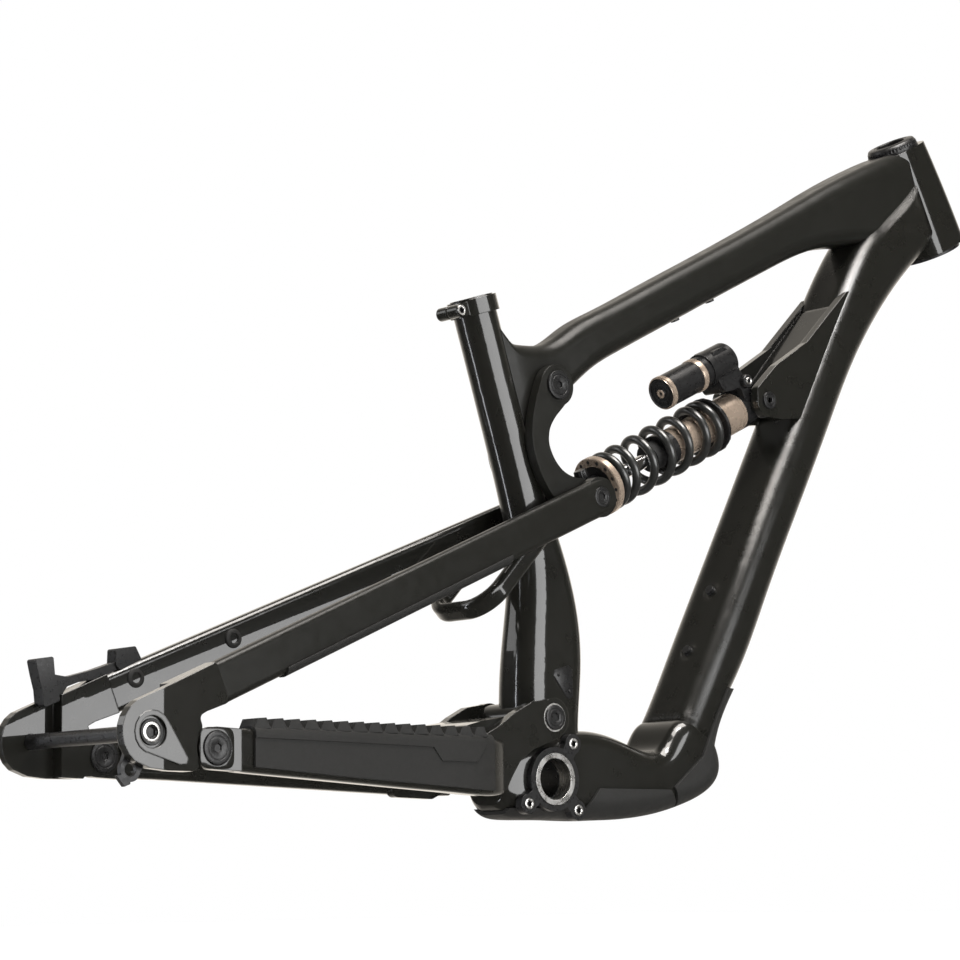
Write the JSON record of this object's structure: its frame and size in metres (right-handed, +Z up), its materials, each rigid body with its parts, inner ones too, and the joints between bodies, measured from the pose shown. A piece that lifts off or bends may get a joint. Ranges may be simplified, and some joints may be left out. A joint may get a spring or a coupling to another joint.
{
  "type": "bicycle frame",
  "caption": "Full-suspension mountain bike frame with carbon tubes, a rocker link, pivoting rear stays and a coil shock with a side reservoir.",
  "frame": {"origin": "centre of the bottom bracket shell, on the frame's middle plane", "axes": "+X forward to the head tube, +Y to the rider's left (non-drive side), +Z up, stance as on level ground"},
  "size_m": [1.0477, 0.1743, 0.6794],
  "materials": {
    "carbon_gloss": "gloss",
    "carbon_satin": "satin",
    "alloy_black": "satin anodised",
    "guard_rubber": "matt, moulded",
    "sleeve_alloy": "machined",
    "bronze_anodised": "anodised, brushed",
    "coil_steel": "powder coat, gloss",
    "shaft_chrome": "hard chrome",
    "bolt_steel": "turned",
    "bumper": "matt foam"
  },
  "bodies": {
    "front_triangle": {"bottom_bracket_housing": "carbon_gloss", "seat_tube": "carbon_gloss", "top_tube": "carbon_gloss", "down_tube": "carbon_gloss", "head_tube": "carbon_gloss", "shock_mount": "carbon_gloss", "bottom_bracket_sleeve": "sleeve_alloy", "chain_guide_mount": "alloy_black", "chain_guide_inserts": "bolt_steel", "underside_guard": "guard_rubber", "down_tube_guard": "guard_rubber", "headset_upper_cup": "alloy_black", "headset_upper_bearing": "bolt_steel", "headset_top_cover": "alloy_black", "headset_lower_cup": "alloy_black", "headset_lower_bearing": "bolt_steel", "seat_clamp_collar": "alloy_black", "seat_clamp_bolt": "bolt_steel", "seat_clamp_nut": "bolt_steel", "frame_boss_screws": "alloy_black", "shock_front_bolt": "alloy_black", "link_pivot_axle": "alloy_black", "main_pivot_axle": "alloy_black"},
    "chainstay_assembly": {"drive_chainstay": "carbon_gloss", "nondrive_chainstay": "carbon_gloss", "chainstay_yoke": "carbon_gloss", "chainstay_guard": "guard_rubber", "main_pivot_bearings": "bolt_steel", "rear_pivot_bolts": "alloy_black"},
    "seatstay_assembly": {"drive_seatstay": "carbon_gloss", "nondrive_seatstay": "carbon_gloss", "seatstay_bridge": "carbon_gloss", "drive_dropout": "carbon_gloss", "nondrive_dropout": "carbon_gloss", "rear_pivot_bearings": "bolt_steel", "derailleur_hanger": "alloy_black", "hanger_bolt": "bolt_steel", "rear_through_axle": "alloy_black", "brake_adapter": "alloy_black", "cable_guides": "alloy_black", "seatstay_guard": "guard_rubber", "seatstay_pivot_caps": "alloy_black"},
    "rocker": {"rocker_link": "carbon_satin", "link_pivot_bearings": "bolt_steel", "link_lower_bolts": "bolt_steel"},
    "shock_body": {"shock_head": "alloy_black", "shock_cylinder": "bronze_anodised", "shock_seal_head": "alloy_black", "shock_bump_stop": "bumper", "reservoir": "alloy_black", "reservoir_cap": "bronze_anodised", "shock_front_bush": "alloy_black"},
    "collar": {"preload_collar": "bronze_anodised"},
    "compression_knob": {"compression_dial": "alloy_black"},
    "shock_shaft_assembly": {"shock_shaft": "shaft_chrome", "shock_eyelet": "alloy_black", "spring_retainer": "bronze_anodised", "coil_spring": "coil_steel", "shock_rear_bush": "alloy_black"},
    "rebound_knob": {"rebound_dial": "bronze_anodised"}
  },
  "joints": [
    {"name": "chainstay_main_pivot", "type": "hinge", "parent": "front_triangle", "child": "chainstay_assembly", "pos_m": [-0.008, 0, 0.051], "axis": [0, 1, 0], "range_deg": [0, 22], "stiffness_Nm_per_rad": 2000, "springref_deg": -3.44},
    {"name": "seatstay_rear_pivot", "type": "hinge", "parent": "chainstay_assembly", "child": "seatstay_assembly", "pos_m": [-0.385, 0, 0.0155], "axis": [0, 1, 0], "range_deg": [-9.33, 0]},
    {"name": "rocker_upper_pivot", "type": "hinge", "parent": "front_triangle", "child": "rocker", "pos_m": [0.016, 0, 0.3385], "axis": [0, 1, 0], "range_deg": [-37.23, 0]},
    {"name": "shock_front_pivot", "type": "hinge", "parent": "front_triangle", "child": "shock_body", "pos_m": [0.2803, 0, 0.3515], "axis": [0, 1, 0], "range_deg": [0, 4.07]},
    {"name": "shock_stroke", "type": "slide", "parent": "shock_body", "child": "shock_shaft_assembly", "axis": [0.901, 0, 0.4339], "range_m": [0, 0.06284], "deforming": ["coil_spring"]},
    {"name": "preload_collar_turn", "type": "hinge", "parent": "shock_body", "child": "collar", "pos_m": [0.2397, 0, 0.33195], "axis": [0.901, 0, 0.4339], "continuous": true},
    {"name": "compression_dial_turn", "type": "hinge", "parent": "shock_body", "child": "compression_knob", "pos_m": [0.25992, -0.015, 0.36832], "axis": [0, -1, 0], "range_deg": [0, 270]},
    {"name": "rebound_dial_turn", "type": "hinge", "parent": "shock_shaft_assembly", "child": "rebound_knob", "pos_m": [0.06968, 0, 0.26783], "axis": [-0.4339, 0, 0.901], "range_deg": [0, 300]}
  ],
  "couplings": [
    {"joint": "seatstay_rear_pivot", "follows": "chainstay_main_pivot", "ratio": -0.4219},
    {"joint": "rocker_upper_pivot", "follows": "chainstay_main_pivot", "ratio": -1.6899},
    {"joint": "shock_front_pivot", "follows": "chainstay_main_pivot", "ratio": 0.1827},
    {"joint": "shock_stroke", "follows": "chainstay_main_pivot", "m_per_rad": 0.16341}
  ]
}
